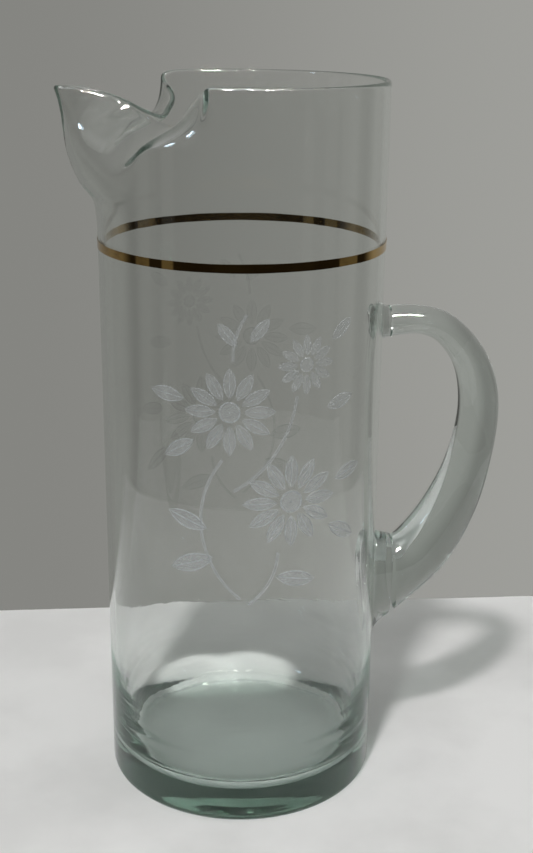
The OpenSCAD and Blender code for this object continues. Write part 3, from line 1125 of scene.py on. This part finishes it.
@dataclass
class Handle:
    """Drawn glass handle, thick at its lower end, with the two seals that fuse it to the wall.

    Attributes:
        body_r: Outer radius of the wall.
        upper: The upper seal.
        lower: The lower seal.
        reach: How far the middle line stands out from the wall.
        grip_t: Thickness at the hand, seen from the side.
        grip_w: Width at the hand.
        gap: Clearance between handle, seals and wall.
        rows: Shares of reach, of the height between the seals, of grip_t and of grip_w, from the top.
        steps_per_row: Rings between two rows.
        face_rows: Rows of faces on each end face.
        sides: Number of sides round.
        glass: Its finish.
        tooled: Finish of the seals, which were pressed on with a tool.
    """

    body_r: float
    upper: Seal = Seal(
        "upper_handle_seal", wall_z=164.0, thick=3.2, size=(12.5, 15.5), end_shares=(0.86, 0.88))
    lower: Seal = Seal(
        "lower_handle_seal", wall_z=66.0, thick=7.0, size=(42.0, 22.0), end_shares=(0.76, 0.93),
        tail=0.3, lift_share=0.06)
    reach: float = 37.0
    grip_t: float = 15.0
    grip_w: float = 15.5
    gap: float = 0.06
    rows: Rows = (
        (0.15, 1.003, 0.7, 0.88), (0.35, 1.005, 0.65, 0.87), (0.555, 0.985, 0.685, 0.89),
        (0.71, 0.943, 0.72, 0.9), (0.88, 0.862, 0.8, 0.92), (0.98, 0.755, 0.925, 0.96),
        (1, 0.628, 0.985, 0.99), (0.93, 0.47, 1.07, 1.03), (0.82, 0.337, 1.23, 1.1),
        (0.635, 0.2, 1.38, 1.19), (0.43, 0.1, 1.5, 1.26),
    )
    steps_per_row: int = 2
    face_rows: float = 3.9
    sides: int = 32
    glass: ClearGlass = ClearGlass(
        "handle_glass", surface=(0.985, 0.988, 0.984, 1), density=22.0, streak_height=0.00002)
    tooled: ClearGlass = replace(glass, name="seal_glass", streak_height=0.00012, streak_top=0.4)

    def seals(self) -> tuple[Seal, Seal]:
        """Sets the upper and the lower seal on the wall, and returns them."""
        start = self.body_r + self.gap
        return replace(self.upper, inner_r=start), replace(self.lower, inner_r=start)

    def middle(self, k: float) -> Vector:
        """Finds a point on the middle line.

        Args:
            k: Place along it, counted in rows from the top.

        Returns:
            The point.
        """
        out, up = along(self.rows, k)[:2]
        z = self.lower.wall_z + up * (self.upper.wall_z - self.lower.wall_z)
        return Vector((self.body_r + out * self.reach, 0, z))

    def ring_point(self, k: float, turn: float) -> Vector:
        """Finds a point on the handle's skin.

        Args:
            k: Place along the middle line, counted in rows from the top.
            turn: Angle round the section, in radians.

        Returns:
            The point.
        """
        nudge = 0.1
        before, after = max(k - nudge, 0), min(k + nudge, len(self.rows) - 1)
        way = (self.middle(after) - self.middle(before)).normalized()
        thick, wide = along(self.rows, k)[2:]
        out = Vector((-way.z, 0, way.x)) * thick * self.grip_t / 2
        side = Vector((0, wide * self.grip_w / 2 * math.sin(turn), 0))
        return self.middle(k) + out * math.cos(turn) + side

    def build(self) -> list[Piece]:
        """Lofts the handle and builds both seals.

        Returns:
            The handle, the upper seal and the lower seal.
        """
        upper, lower = self.seals()
        shares = (*FACE_SHARES, 1.0)
        rings: list[Callable[[float], Vector]] = []
        for share in shares:
            rings.append(lambda turn, share=share: upper.end_point(share, turn, self.gap, 1))
        for i in range((len(self.rows) - 1) * self.steps_per_row + 1):
            rings.append(lambda turn, k=i / self.steps_per_row: self.ring_point(k, turn))
        for share in reversed(shares):
            rings.append(lambda turn, share=share: lower.end_point(share, turn, self.gap))
        last = len(rings) - 1

        def place(across: float, down: float) -> Vector:
            """Lays one point of the handle's skin."""
            return rings[round(down * last)](2 * math.pi * across)

        piece = patch("handle_glass", self.sides, last, place)
        subdivide(piece, levels=2)
        mark_joints(piece, last, self.face_rows)
        return [piece, upper.build(), lower.build()]

    def dress(self, pieces: list[Piece]) -> None:
        """Gives the handle and its seals their glass.

        Args:
            pieces: The handle, the upper seal and the lower seal.
        """
        drawn, tooled = self.glass.material(), self.tooled.material()
        nodes = ("handle", "upper_handle_seal", "lower_handle_seal")
        for piece, node, finish in zip(pieces, nodes, (drawn, tooled, tooled)):
            settle(piece, finish, "handle_glass", node)


@dataclass
class GoldBand:
    """Thin band of gold round the wall.

    Attributes:
        inner_r: Radius of its face on the wall.
        middle_z: Height of its middle.
        width: Width of the band.
        thick: Thickness of the film.
        waver: How far its brushed edges waver.
        waves: For each wave of the edges, how many go round, their shift and their start, in radians.
        edge_angle: Angle above which an edge is shaded sharp, in degrees.
        steps: Number of steps round.
        gold: Its finish.
    """

    inner_r: float
    middle_z: float = 193.0
    width: float = 2.7
    thick: float = 0.15
    waver: float = 0.06
    waves: Rows = ((5, 2, 0), (13, 3, 1))
    edge_angle: float = 20.0
    steps: int = 240
    gold: GoldLustre = GoldLustre()

    def build(self) -> Piece:
        """Turns the band and wavers its edges.

        Returns:
            The piece.
        """
        low, high = self.middle_z - self.width / 2, self.middle_z + self.width / 2
        outer_r = self.inner_r + self.thick
        heights = (high, self.middle_z, low)
        inside = [(self.inner_r, z) for z in heights]
        outside = [(outer_r, z) for z in reversed(heights)]
        piece = turned("gold_band_film", inside + outside + inside[:1], self.steps)
        for vertex in piece.data.vertices:
            angle = math.atan2(vertex.co.y, vertex.co.x)
            share = (vertex.co.z / MM - self.middle_z) / (self.width / 2)
            turns = [count * angle + shift * share + start for count, shift, start in self.waves]
            vertex.co.z += share * self.waver * sum(map(math.sin, turns)) / len(turns) * MM
        take(piece)
        bpy.ops.object.shade_smooth_by_angle(angle=math.radians(self.edge_angle))
        return piece

    def dress(self, piece: Piece) -> None:
        """Gives the band its gold."""
        settle(piece, self.gold.material(), "gold_lustre", "gold_band")


@dataclass
class EnamelSpray:
    """Printed spray of blossoms, leaves and stems on one side of the body.

    Attributes:
        inner_r: Radius of the face on the wall.
        middle_z: Height of the spray's middle.
        height: Height of the spray.
        width: Width of the spray along the wall.
        thick: Thickness of the film.
        petals: Number of petals on a blossom.
        stem_w: Width of a stem line.
        leaf_w_share: Width of a leaf as a share of its length.
        petal_w_share: Width of a petal as a share of the room that it has.
        petal_root_share: Where a petal starts, as a share of the blossom's radius.
        eye_share: Radius of the blossom's eye as a share of its radius.
        leaf_faces: Number of faces along and across a leaf or a petal.
        eye_faces: Number of faces round half an eye and across it.
        stem_faces: Number of faces along and across a stem.
        edge_angle: Angle above which an edge is shaded sharp, in degrees.
        blossoms: Shares of the half width across, the half height up and the half width as radius.
        leaves: Shares across and up as for blossoms, direction in degrees, length as a share likewise.
        stems: Shares across and up of both ends, and the bow as a share of the length.
        plain: Finish of the front spray.
        faint: Finish of the back spray, which is printed more thinly.
    """

    inner_r: float
    middle_z: float = 132.0
    height: float = 98.0
    width: float = 66.0
    thick: float = 0.15
    petals: int = 12
    stem_w: float = 0.9
    leaf_w_share: float = 0.4
    petal_w_share: float = 0.82
    petal_root_share: float = 0.31
    eye_share: float = 0.24
    leaf_faces: tuple[int, int] = (16, 6)
    eye_faces: tuple[int, int] = (16, 8)
    stem_faces: tuple[int, int] = (24, 4)
    edge_angle: float = 40.0
    blossoms: Rows = ((0.3, -0.29, 0.47), (-0.3, 0.33, 0.43), (0.44, 0.62, 0.29))
    leaves: Rows = (
        (0.9, -0.57, -30, 0.4), (0.97, -0.16, 14, 0.36), (0.36, -0.84, -12, 0.42),
        (-0.72, -0.42, 160, 0.42), (-0.68, -0.72, 200, 0.46), (-0.92, 0.42, 172, 0.36),
        (-0.8, 0.07, 212, 0.36), (0.84, 0.34, 12, 0.34), (-0.32, 0.83, 130, 0.28),
        (-0.02, 0.86, 50, 0.28), (0.84, 0.82, 35, 0.3),
    )
    stems: Rows = (
        (-0.12, -1, 0.17, -0.64, -0.12), (-0.2, -0.96, -0.37, 0.01, 0.2),
        (-0.26, -0.2, 0.34, 0.42, -0.12), (-0.27, 0.66, -0.14, 0.96, 0.08),
    )
    plain: FrostedEnamel = FrostedEnamel()
    faint: FrostedEnamel = FrostedEnamel("faint_enamel", fill=0.04, line=0.12)

    def film(self, name: str, faces: tuple[int, int], place: Place) -> Piece:
        """Makes one flat island of enamel, as thick as the film.

        Args:
            name: Name of the island.
            faces: Number of faces along and across.
            place: Gives the flat point in millimetres for shares along and across.

        Returns:
            The island.
        """
        piece = patch(name, *faces, place)
        if piece.data.polygons[0].normal.z < 0:
            start_edit()
            bpy.ops.mesh.flip_normals()
            bpy.ops.object.mode_set(mode="OBJECT")
        modify(piece, "SOLIDIFY", thickness=self.thick * MM, offset=1)
        return piece

    def leaf(self, long: float, wide: float) -> Piece:
        """Makes a pointed oval between two arcs.

        Args:
            long: Its length.
            wide: Its width.

        Returns:
            The island.
        """
        arc_r = (long * long + wide * wide) / (4 * wide)

        def place(along_share: float, across_share: float) -> Vector:
            """Lays one point of the oval.

            Args:
                along_share: Share of its length.
                across_share: Share of its width there.

            Returns:
                The point.
            """
            x = (along_share - 0.5) * long
            half = math.sqrt(max(0.0, arc_r**2 - x**2)) - arc_r + wide / 2
            return Vector((x, (2 * across_share - 1) * max(0.0, half), 0))

        return self.film("leaf", self.leaf_faces, place)

    def eye(self, radius: float) -> Piece:
        """Makes the round eye of a blossom.

        Args:
            radius: Its radius.

        Returns:
            The island.
        """

        def place(along_share: float, across_share: float) -> Vector:
            """Lays one point of the disc, along its diameters."""
            return polar((2 * across_share - 1) * radius, 180 * along_share, 0)

        return self.film("eye", self.eye_faces, place)

    def stem(self, long: float, bow: float) -> Piece:
        """Makes a thin arc between two points on the x axis.

        Args:
            long: Distance between the points.
            bow: How far it bows to +Y or, below 0, to -Y.

        Returns:
            The island.
        """
        arc_r = (long * long / 4 + bow * bow) / (2 * abs(bow))
        half_turn = math.asin(long / 2 / arc_r)

        def place(along_share: float, across_share: float) -> Vector:
            """Lays one point of the arc.

            Args:
                along_share: Share of its length.
                across_share: Share of its width there.

            Returns:
                The point.
            """
            turn = (2 * along_share - 1) * half_turn
            r = arc_r + (across_share - 0.5) * self.stem_w
            point = Vector((r * math.sin(turn), r * math.cos(turn) - arc_r + abs(bow), 0))
            return Vector((point.x, math.copysign(1, bow) * point.y, 0))

        return self.film("stem", self.stem_faces, place)

    def lay(self, island: Piece, middle: Row, turn: float = 0.0, out: float = 0.0) -> None:
        """Lays a flat island on the front of the wall.

        Args:
            island: The island, drawn about the origin.
            middle: Its place along the wall and up from the spray's middle.
            turn: How far it is turned, in degrees.
            out: How far it is moved along its own direction first.
        """
        across, up = middle
        matrix = rotation(turn) @ Matrix.Translation((out * MM, 0, 0))
        for vertex in island.data.vertices:
            flat = matrix @ vertex.co / MM
            degrees = math.degrees(across / self.inner_r + math.asin(flat.x / self.inner_r))
            z = self.middle_z + up + flat.y
            vertex.co = polar(self.inner_r + flat.z, Side.FRONT.value + degrees, z) * MM

    def blossom_islands(self) -> list[Piece]:
        """Makes all petals and eyes.

        Returns:
            The islands.
        """
        islands = []
        for across, up, share in self.blossoms:
            middle = (across * self.width / 2, up * self.height / 2)
            r = share * self.width / 2
            petal_r = r * (1 + self.petal_root_share) / 2
            wide = 2 * math.pi * petal_r / self.petals * self.petal_w_share
            first = self.leaf(r * (1 - self.petal_root_share), wide)
            flower = [first] + [copied(first) for _ in range(self.petals - 1)]
            for i, petal in enumerate(flower):
                self.lay(petal, middle, 360 * i / self.petals, petal_r)
            eye = self.eye(r * self.eye_share)
            self.lay(eye, middle)
            islands += flower + [eye]
        return islands

    def leaf_islands(self) -> list[Piece]:
        """Makes all leaves.

        Returns:
            The islands.
        """
        islands = []
        for across, up, turn, share in self.leaves:
            long = share * self.width / 2
            islands.append(self.leaf(long, long * self.leaf_w_share))
            self.lay(islands[-1], (across * self.width / 2, up * self.height / 2), turn)
        return islands

    def stem_islands(self) -> list[Piece]:
        """Makes all stems.

        Returns:
            The islands.
        """
        islands = []
        half = Vector((self.width / 2, self.height / 2))
        for from_x, from_y, to_x, to_y, bow in self.stems:
            start, end = Vector((from_x, from_y)) * half, Vector((to_x, to_y)) * half
            way = end - start
            islands.append(self.stem(way.length, bow * way.length))
            self.lay(islands[-1], (start + end) / 2, math.degrees(math.atan2(way.y, way.x)))
        return islands

    def build(self) -> dict[tuple[Side, Motif], Piece]:
        """Builds the front spray and its copy on the back.

        Returns:
            The piece of each motif on each side.
        """
        makers = {
            Motif.BLOSSOM: self.blossom_islands,
            Motif.LEAF: self.leaf_islands,
            Motif.STEM: self.stem_islands,
        }
        to_back = rotation(Side.BACK.value - Side.FRONT.value)
        pieces = {}
        for motif, make in makers.items():
            front = joined(f"front_{motif.value}_enamel", make())
            take(front)
            bpy.ops.object.shade_smooth_by_angle(angle=math.radians(self.edge_angle))
            back = copied(front)
            back.name = back.data.name = f"back_{motif.value}_enamel"
            back.data.transform(to_back)
            pieces[Side.FRONT, motif] = front
            pieces[Side.BACK, motif] = back
        return pieces

    def dress(self, pieces: dict[tuple[Side, Motif], Piece]) -> None:
        """Gives both sprays their enamel.

        Args:
            pieces: The piece of each motif on each side.
        """
        finishes = {Side.FRONT: self.plain.material(), Side.BACK: self.faint.material()}
        for (side, motif), piece in pieces.items():
            settle(piece, finishes[side], "white_enamel", f"{side.name.lower()}_{motif.value}")


@dataclass(frozen=True)
class Viewpoint:
    """Camera at the photograph's viewing angle.

    Attributes:
        distance: Distance from the body's axis along the ground, in millimetres.
        height: Height above the table, in millimetres.
        azimuth: Angle of the camera round the body, in degrees; 0 looks along +Y.
        pitch: How far it looks down, in degrees.
        yaw: How far it looks past the axis to the right, in degrees.
        roll: How far it is rolled, in degrees.
        lens: Focal length, in millimetres, on a sensor whose long side is the default 36.
        near: Distance from which it sees things, in metres.
    """

    distance: float = 432.9
    height: float = 273.0
    azimuth: float = -7.4
    pitch: float = 18.54
    yaw: float = 1.136
    roll: float = 0.5
    lens: float = 55.56
    near: float = 0.01

    def build(self) -> None:
        """Makes the scene's camera."""
        data = bpy.data.cameras.new("camera")
        data.lens = self.lens
        data.clip_start = self.near
        camera = bpy.data.objects.new("camera", data)
        bpy.context.scene.collection.objects.link(camera)
        place = Matrix.Translation(polar(self.distance, self.azimuth - 90, self.height) * MM)
        turn = rotation(self.azimuth - self.yaw)
        tilt = rotation(90 - self.pitch, "X")
        camera.matrix_world = place @ turn @ tilt @ rotation(self.roll)
        bpy.context.scene.camera = camera


@dataclass(frozen=True)
class Lamp:
    """Round or oval lamp that points at the pitcher, with or without a hood.

    Attributes:
        name: Name of the light.
        place: Where it is, in metres.
        size: Its width, in metres.
        power: Its power, in watts.
        use: What the lamp is for.
        colour: Its colour.
        tall: Its height, in metres, or 0 if it is round.
        cone: Angle of the hood's cone, in degrees, or 0 without a hood.
        blend: Share of the cone over which its light fades.
        aim: Point that it points at, in metres.
    """

    name: str
    place: Triple
    size: float
    power: float
    use: LampUse
    colour: Triple = (1, 1, 1)
    tall: float = 0.0
    cone: float = 0.0
    blend: float = 1.0
    aim: Triple = (0, 0, 0.1)

    def build(self) -> None:
        """Hangs the lamp and turns it to its aim."""
        data = bpy.data.lights.new(self.name, "SPOT" if self.cone else "AREA")
        if self.cone:
            data.spot_size = math.radians(self.cone)
            data.spot_blend = self.blend
            data.shadow_soft_size = self.size / 2
        else:
            data.shape = "ELLIPSE"
            data.size = self.size
            data.size_y = self.tall or self.size
        data.energy = self.power
        data.color = self.colour
        light = bpy.data.objects.new(self.name, data)
        bpy.context.scene.collection.objects.link(light)
        light.visible_diffuse = self.use is LampUse.FLOOD
        light.visible_glossy = light.visible_transmission = self.use is LampUse.SPARKLE
        light.location = self.place
        way = Vector(self.aim) - Vector(self.place)
        light.rotation_euler = way.to_track_quat("-Z", "Y").to_euler()


@dataclass
class Studio:
    """Pale floor, soft lamps and a plain grey surround.

    Attributes:
        turn: Azimuth of the floor's far edge, in degrees.
        floor_back: Distance from the axis to the floor's far edge, in millimetres.
        floor_r: Radius of the floor's round near edge, in millimetres.
        floor_t: Thickness of the floor, in millimetres.
        floor_drop: How far its top lies below the foot's lowest point, in millimetres.
        floor_steps: Number of steps round its near edge.
        bevel: Width of the bevel on its edges, in millimetres.
        bevel_steps: Number of steps across the bevel.
        floods: The lamps that light the matt surfaces.
        spot: One of the row of lamps that glint in the glass and the gold.
        spot_xs: Where each of them is along the row, in metres.
        window: The cold lamp that shows as a window in the glass.
        glow: One of the lamps that light the floor close behind the foot.
        glow_r: Radius of the arc that they light, in millimetres.
        glow_azimuths: Places along that arc, in degrees.
        back: Grey of the surround behind the pitcher, on the left.
        back_right: Grey behind the pitcher, on the right.
        front: Grey of the surround in front of it, below the rim.
        front_high: Grey in front of it, above the rim.
        above: Grey of the surround above it.
        strip: Grey of the upright light strips in the surround.
        strips: Azimuth and half width of each strip, in degrees.
        strip_edge: Width of a strip's soft edge, in degrees.
        behind_span: Where the front's grey ends and the back's starts, as a direction's Y.
        high_span: Where the low grey in front ends and the high one starts, as its Z.
        right_span: Where the left grey behind ends and the right one starts, as its X.
        above_span: Where the sides' grey ends and that above starts, as its Z.
    """

    turn: float = -3.9
    floor_back: float = 122.0
    floor_r: float = 330.0
    floor_t: float = 20.0
    floor_drop: float = 0.1
    floor_steps: int = 48
    bevel: float = 2.0
    bevel_steps: int = 3
    floods: tuple[Lamp, ...] = (
        Lamp("key_lamp", (-0.3, -0.7, 1.35), size=0.12, power=57.0, use=LampUse.FLOOD, cone=27.0,
             aim=(0, 0.02, 0)),
        Lamp("side_lamp", (0.8, -0.2, 1.2), size=0.3, power=1.5, use=LampUse.FLOOD),
        Lamp("floor_lamp", (0, 0, 1.6), size=0.02, power=24.0, use=LampUse.FLOOD, cone=3.4,
             aim=(0, 0, 0)),
    )
    spot: Lamp = Lamp(
        "spot", (0, -0.5, 1.5), size=0.08, power=45.0, use=LampUse.SPARKLE, colour=(1, 0.96, 0.91),
        tall=0.34)
    spot_xs: Row = (-0.2, 0.04, 0.28, 0.52)
    window: Lamp = Lamp(
        "window", (-1.6, -0.5, 0.9), size=0.2, power=4.0, use=LampUse.SPARKLE, colour=(0.66, 0.83, 1))
    glow: Lamp = Lamp(
        "glow_lamp", (0, 0.9, 1.4), size=0.004, power=95.0, use=LampUse.FLOOD, cone=1.45, blend=0.6)
    glow_r: float = 51.0
    glow_azimuths: Row = (78.0, 103.0)
    back: Colour = (0.235, 0.235, 0.22, 1)
    back_right: Colour = (0.345, 0.345, 0.325, 1)
    front: Colour = (0.02, 0.018, 0.016, 1)
    front_high: Colour = (0.22, 0.22, 0.22, 1)
    above: Colour = (0.36, 0.36, 0.355, 1)
    strip: Colour = (0.15, 0.15, 0.14, 1)
    strips: Rows = ((-67.0, 4.0), (-91.0, 6.0), (84.0, 9.0))
    strip_edge: float = 2.0
    behind_span: Pair = (0.2, 0.5)
    high_span: Pair = (-0.05, 0.25)
    right_span: Pair = (-0.05, 0.38)
    above_span: Pair = (0.25, 0.8)

    def build(self) -> None:
        """Lays the floor, hangs the lamps and paints the surround."""
        self.lay_floor()
        for lamp in self.lamps():
            lamp.build()
        self.paint_surround()

    def lamps(self) -> list[Lamp]:
        """Lists all lamps, with each one of the row of spots and of the glow.

        Returns:
            The lamps.
        """
        _, y, z = self.spot.place
        spots = [
            replace(self.spot, name=f"spot_{i}", place=(x, y, z)) for i, x in enumerate(self.spot_xs, 1)
        ]
        glows = [
            replace(self.glow, name=f"glow_lamp_{i}", aim=tuple(polar(self.glow_r, azimuth, 0) * MM))
            for i, azimuth in enumerate(self.glow_azimuths, 1)
        ]
        return [*self.floods, *spots, self.window, *glows]

    def lay_floor(self) -> None:
        """Makes the floor, a slab with a straight far edge and a round near one."""
        turn = rotation(self.turn)

        def place(across: float, forward: float) -> Vector:
            """Lays one point of the slab's top.

            Args:
                across: Share of the way from left to right.
                forward: Share of the way from the far edge to the near one.

            Returns:
                The point.
            """
            edge = polar(self.floor_r, 180 * across - 180, 0)
            y = self.floor_back + (edge.y - self.floor_back) * forward
            return turn @ Vector((edge.x, y, -self.floor_drop))

        floor = patch("floor", self.floor_steps, 1, place)
        start_edit()
        bpy.ops.mesh.extrude_region_move(TRANSFORM_OT_translate={"value": (0, 0, -self.floor_t * MM)})
        weld()
        modify(floor, "BEVEL", width=self.bevel * MM, segments=self.bevel_steps)
        floor.data.materials.append(PaleFloor().material())

    def paint_surround(self) -> None:
        """Paints the world a plain grey, darker in front and lighter above."""
        world = bpy.data.worlds.new("surround")
        bpy.context.scene.world = world
        wiring = Wiring(world)
        x, y, z = wiring.axes(wiring.node("TexCoord").outputs["Generated"])
        ahead = wiring.mix(wiring.ramp(z, self.high_span), self.front, self.front_high)
        wall = wiring.mix(wiring.ramp(x, self.right_span), self.back, self.back_right)
        grey = wiring.mix(wiring.ramp(y, self.behind_span), ahead, wall)
        azimuth = wiring.math("ARCTAN2", x, wiring.math("MULTIPLY", y, -1.0))
        for middle, half in self.strips:
            off = wiring.math("ABSOLUTE", wiring.math("SUBTRACT", azimuth, math.radians(middle)))
            edge = (math.radians(half), math.radians(half + self.strip_edge))
            grey = wiring.mix(wiring.ramp(off, edge, (1, 0)), grey, self.strip)
        grey = wiring.mix(wiring.ramp(z, self.above_span), grey, self.above)
        ground = wiring.node("Background", {"Color": grey, "Strength": 1.0})
        wiring.node("OutputWorld", {"Surface": ground.outputs[0]})


def set_light_paths() -> None:
    """Lets light pass all the walls of the glass, and shows colours as they are."""
    scene = bpy.context.scene
    scene.cycles.max_bounces = GLASS_BOUNCES
    scene.cycles.transmission_bounces = GLASS_BOUNCES
    scene.cycles.glossy_bounces = GLOSSY_BOUNCES
    scene.cycles.transparent_max_bounces = GLASS_BOUNCES
    scene.cycles.caustics_reflective = False
    scene.cycles.caustics_refractive = False
    scene.view_settings.view_transform = "Standard"


def main() -> None:
    """Builds the pitcher piece by piece, then the studio and the camera."""
    logging.basicConfig(level=logging.INFO, format="%(name)s: %(message)s")
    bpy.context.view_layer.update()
    lip = PouringLip()
    film_r = lip.radius + FILM_GAP
    handle = Handle(lip.radius)
    for assembly in (Vessel(lip, handle.seals()), handle, GoldBand(film_r), EnamelSpray(film_r)):
        assembly.dress(assembly.build())
    Studio().build()
    Viewpoint().build()
    set_light_paths()


if __name__ == "__main__":
    main()
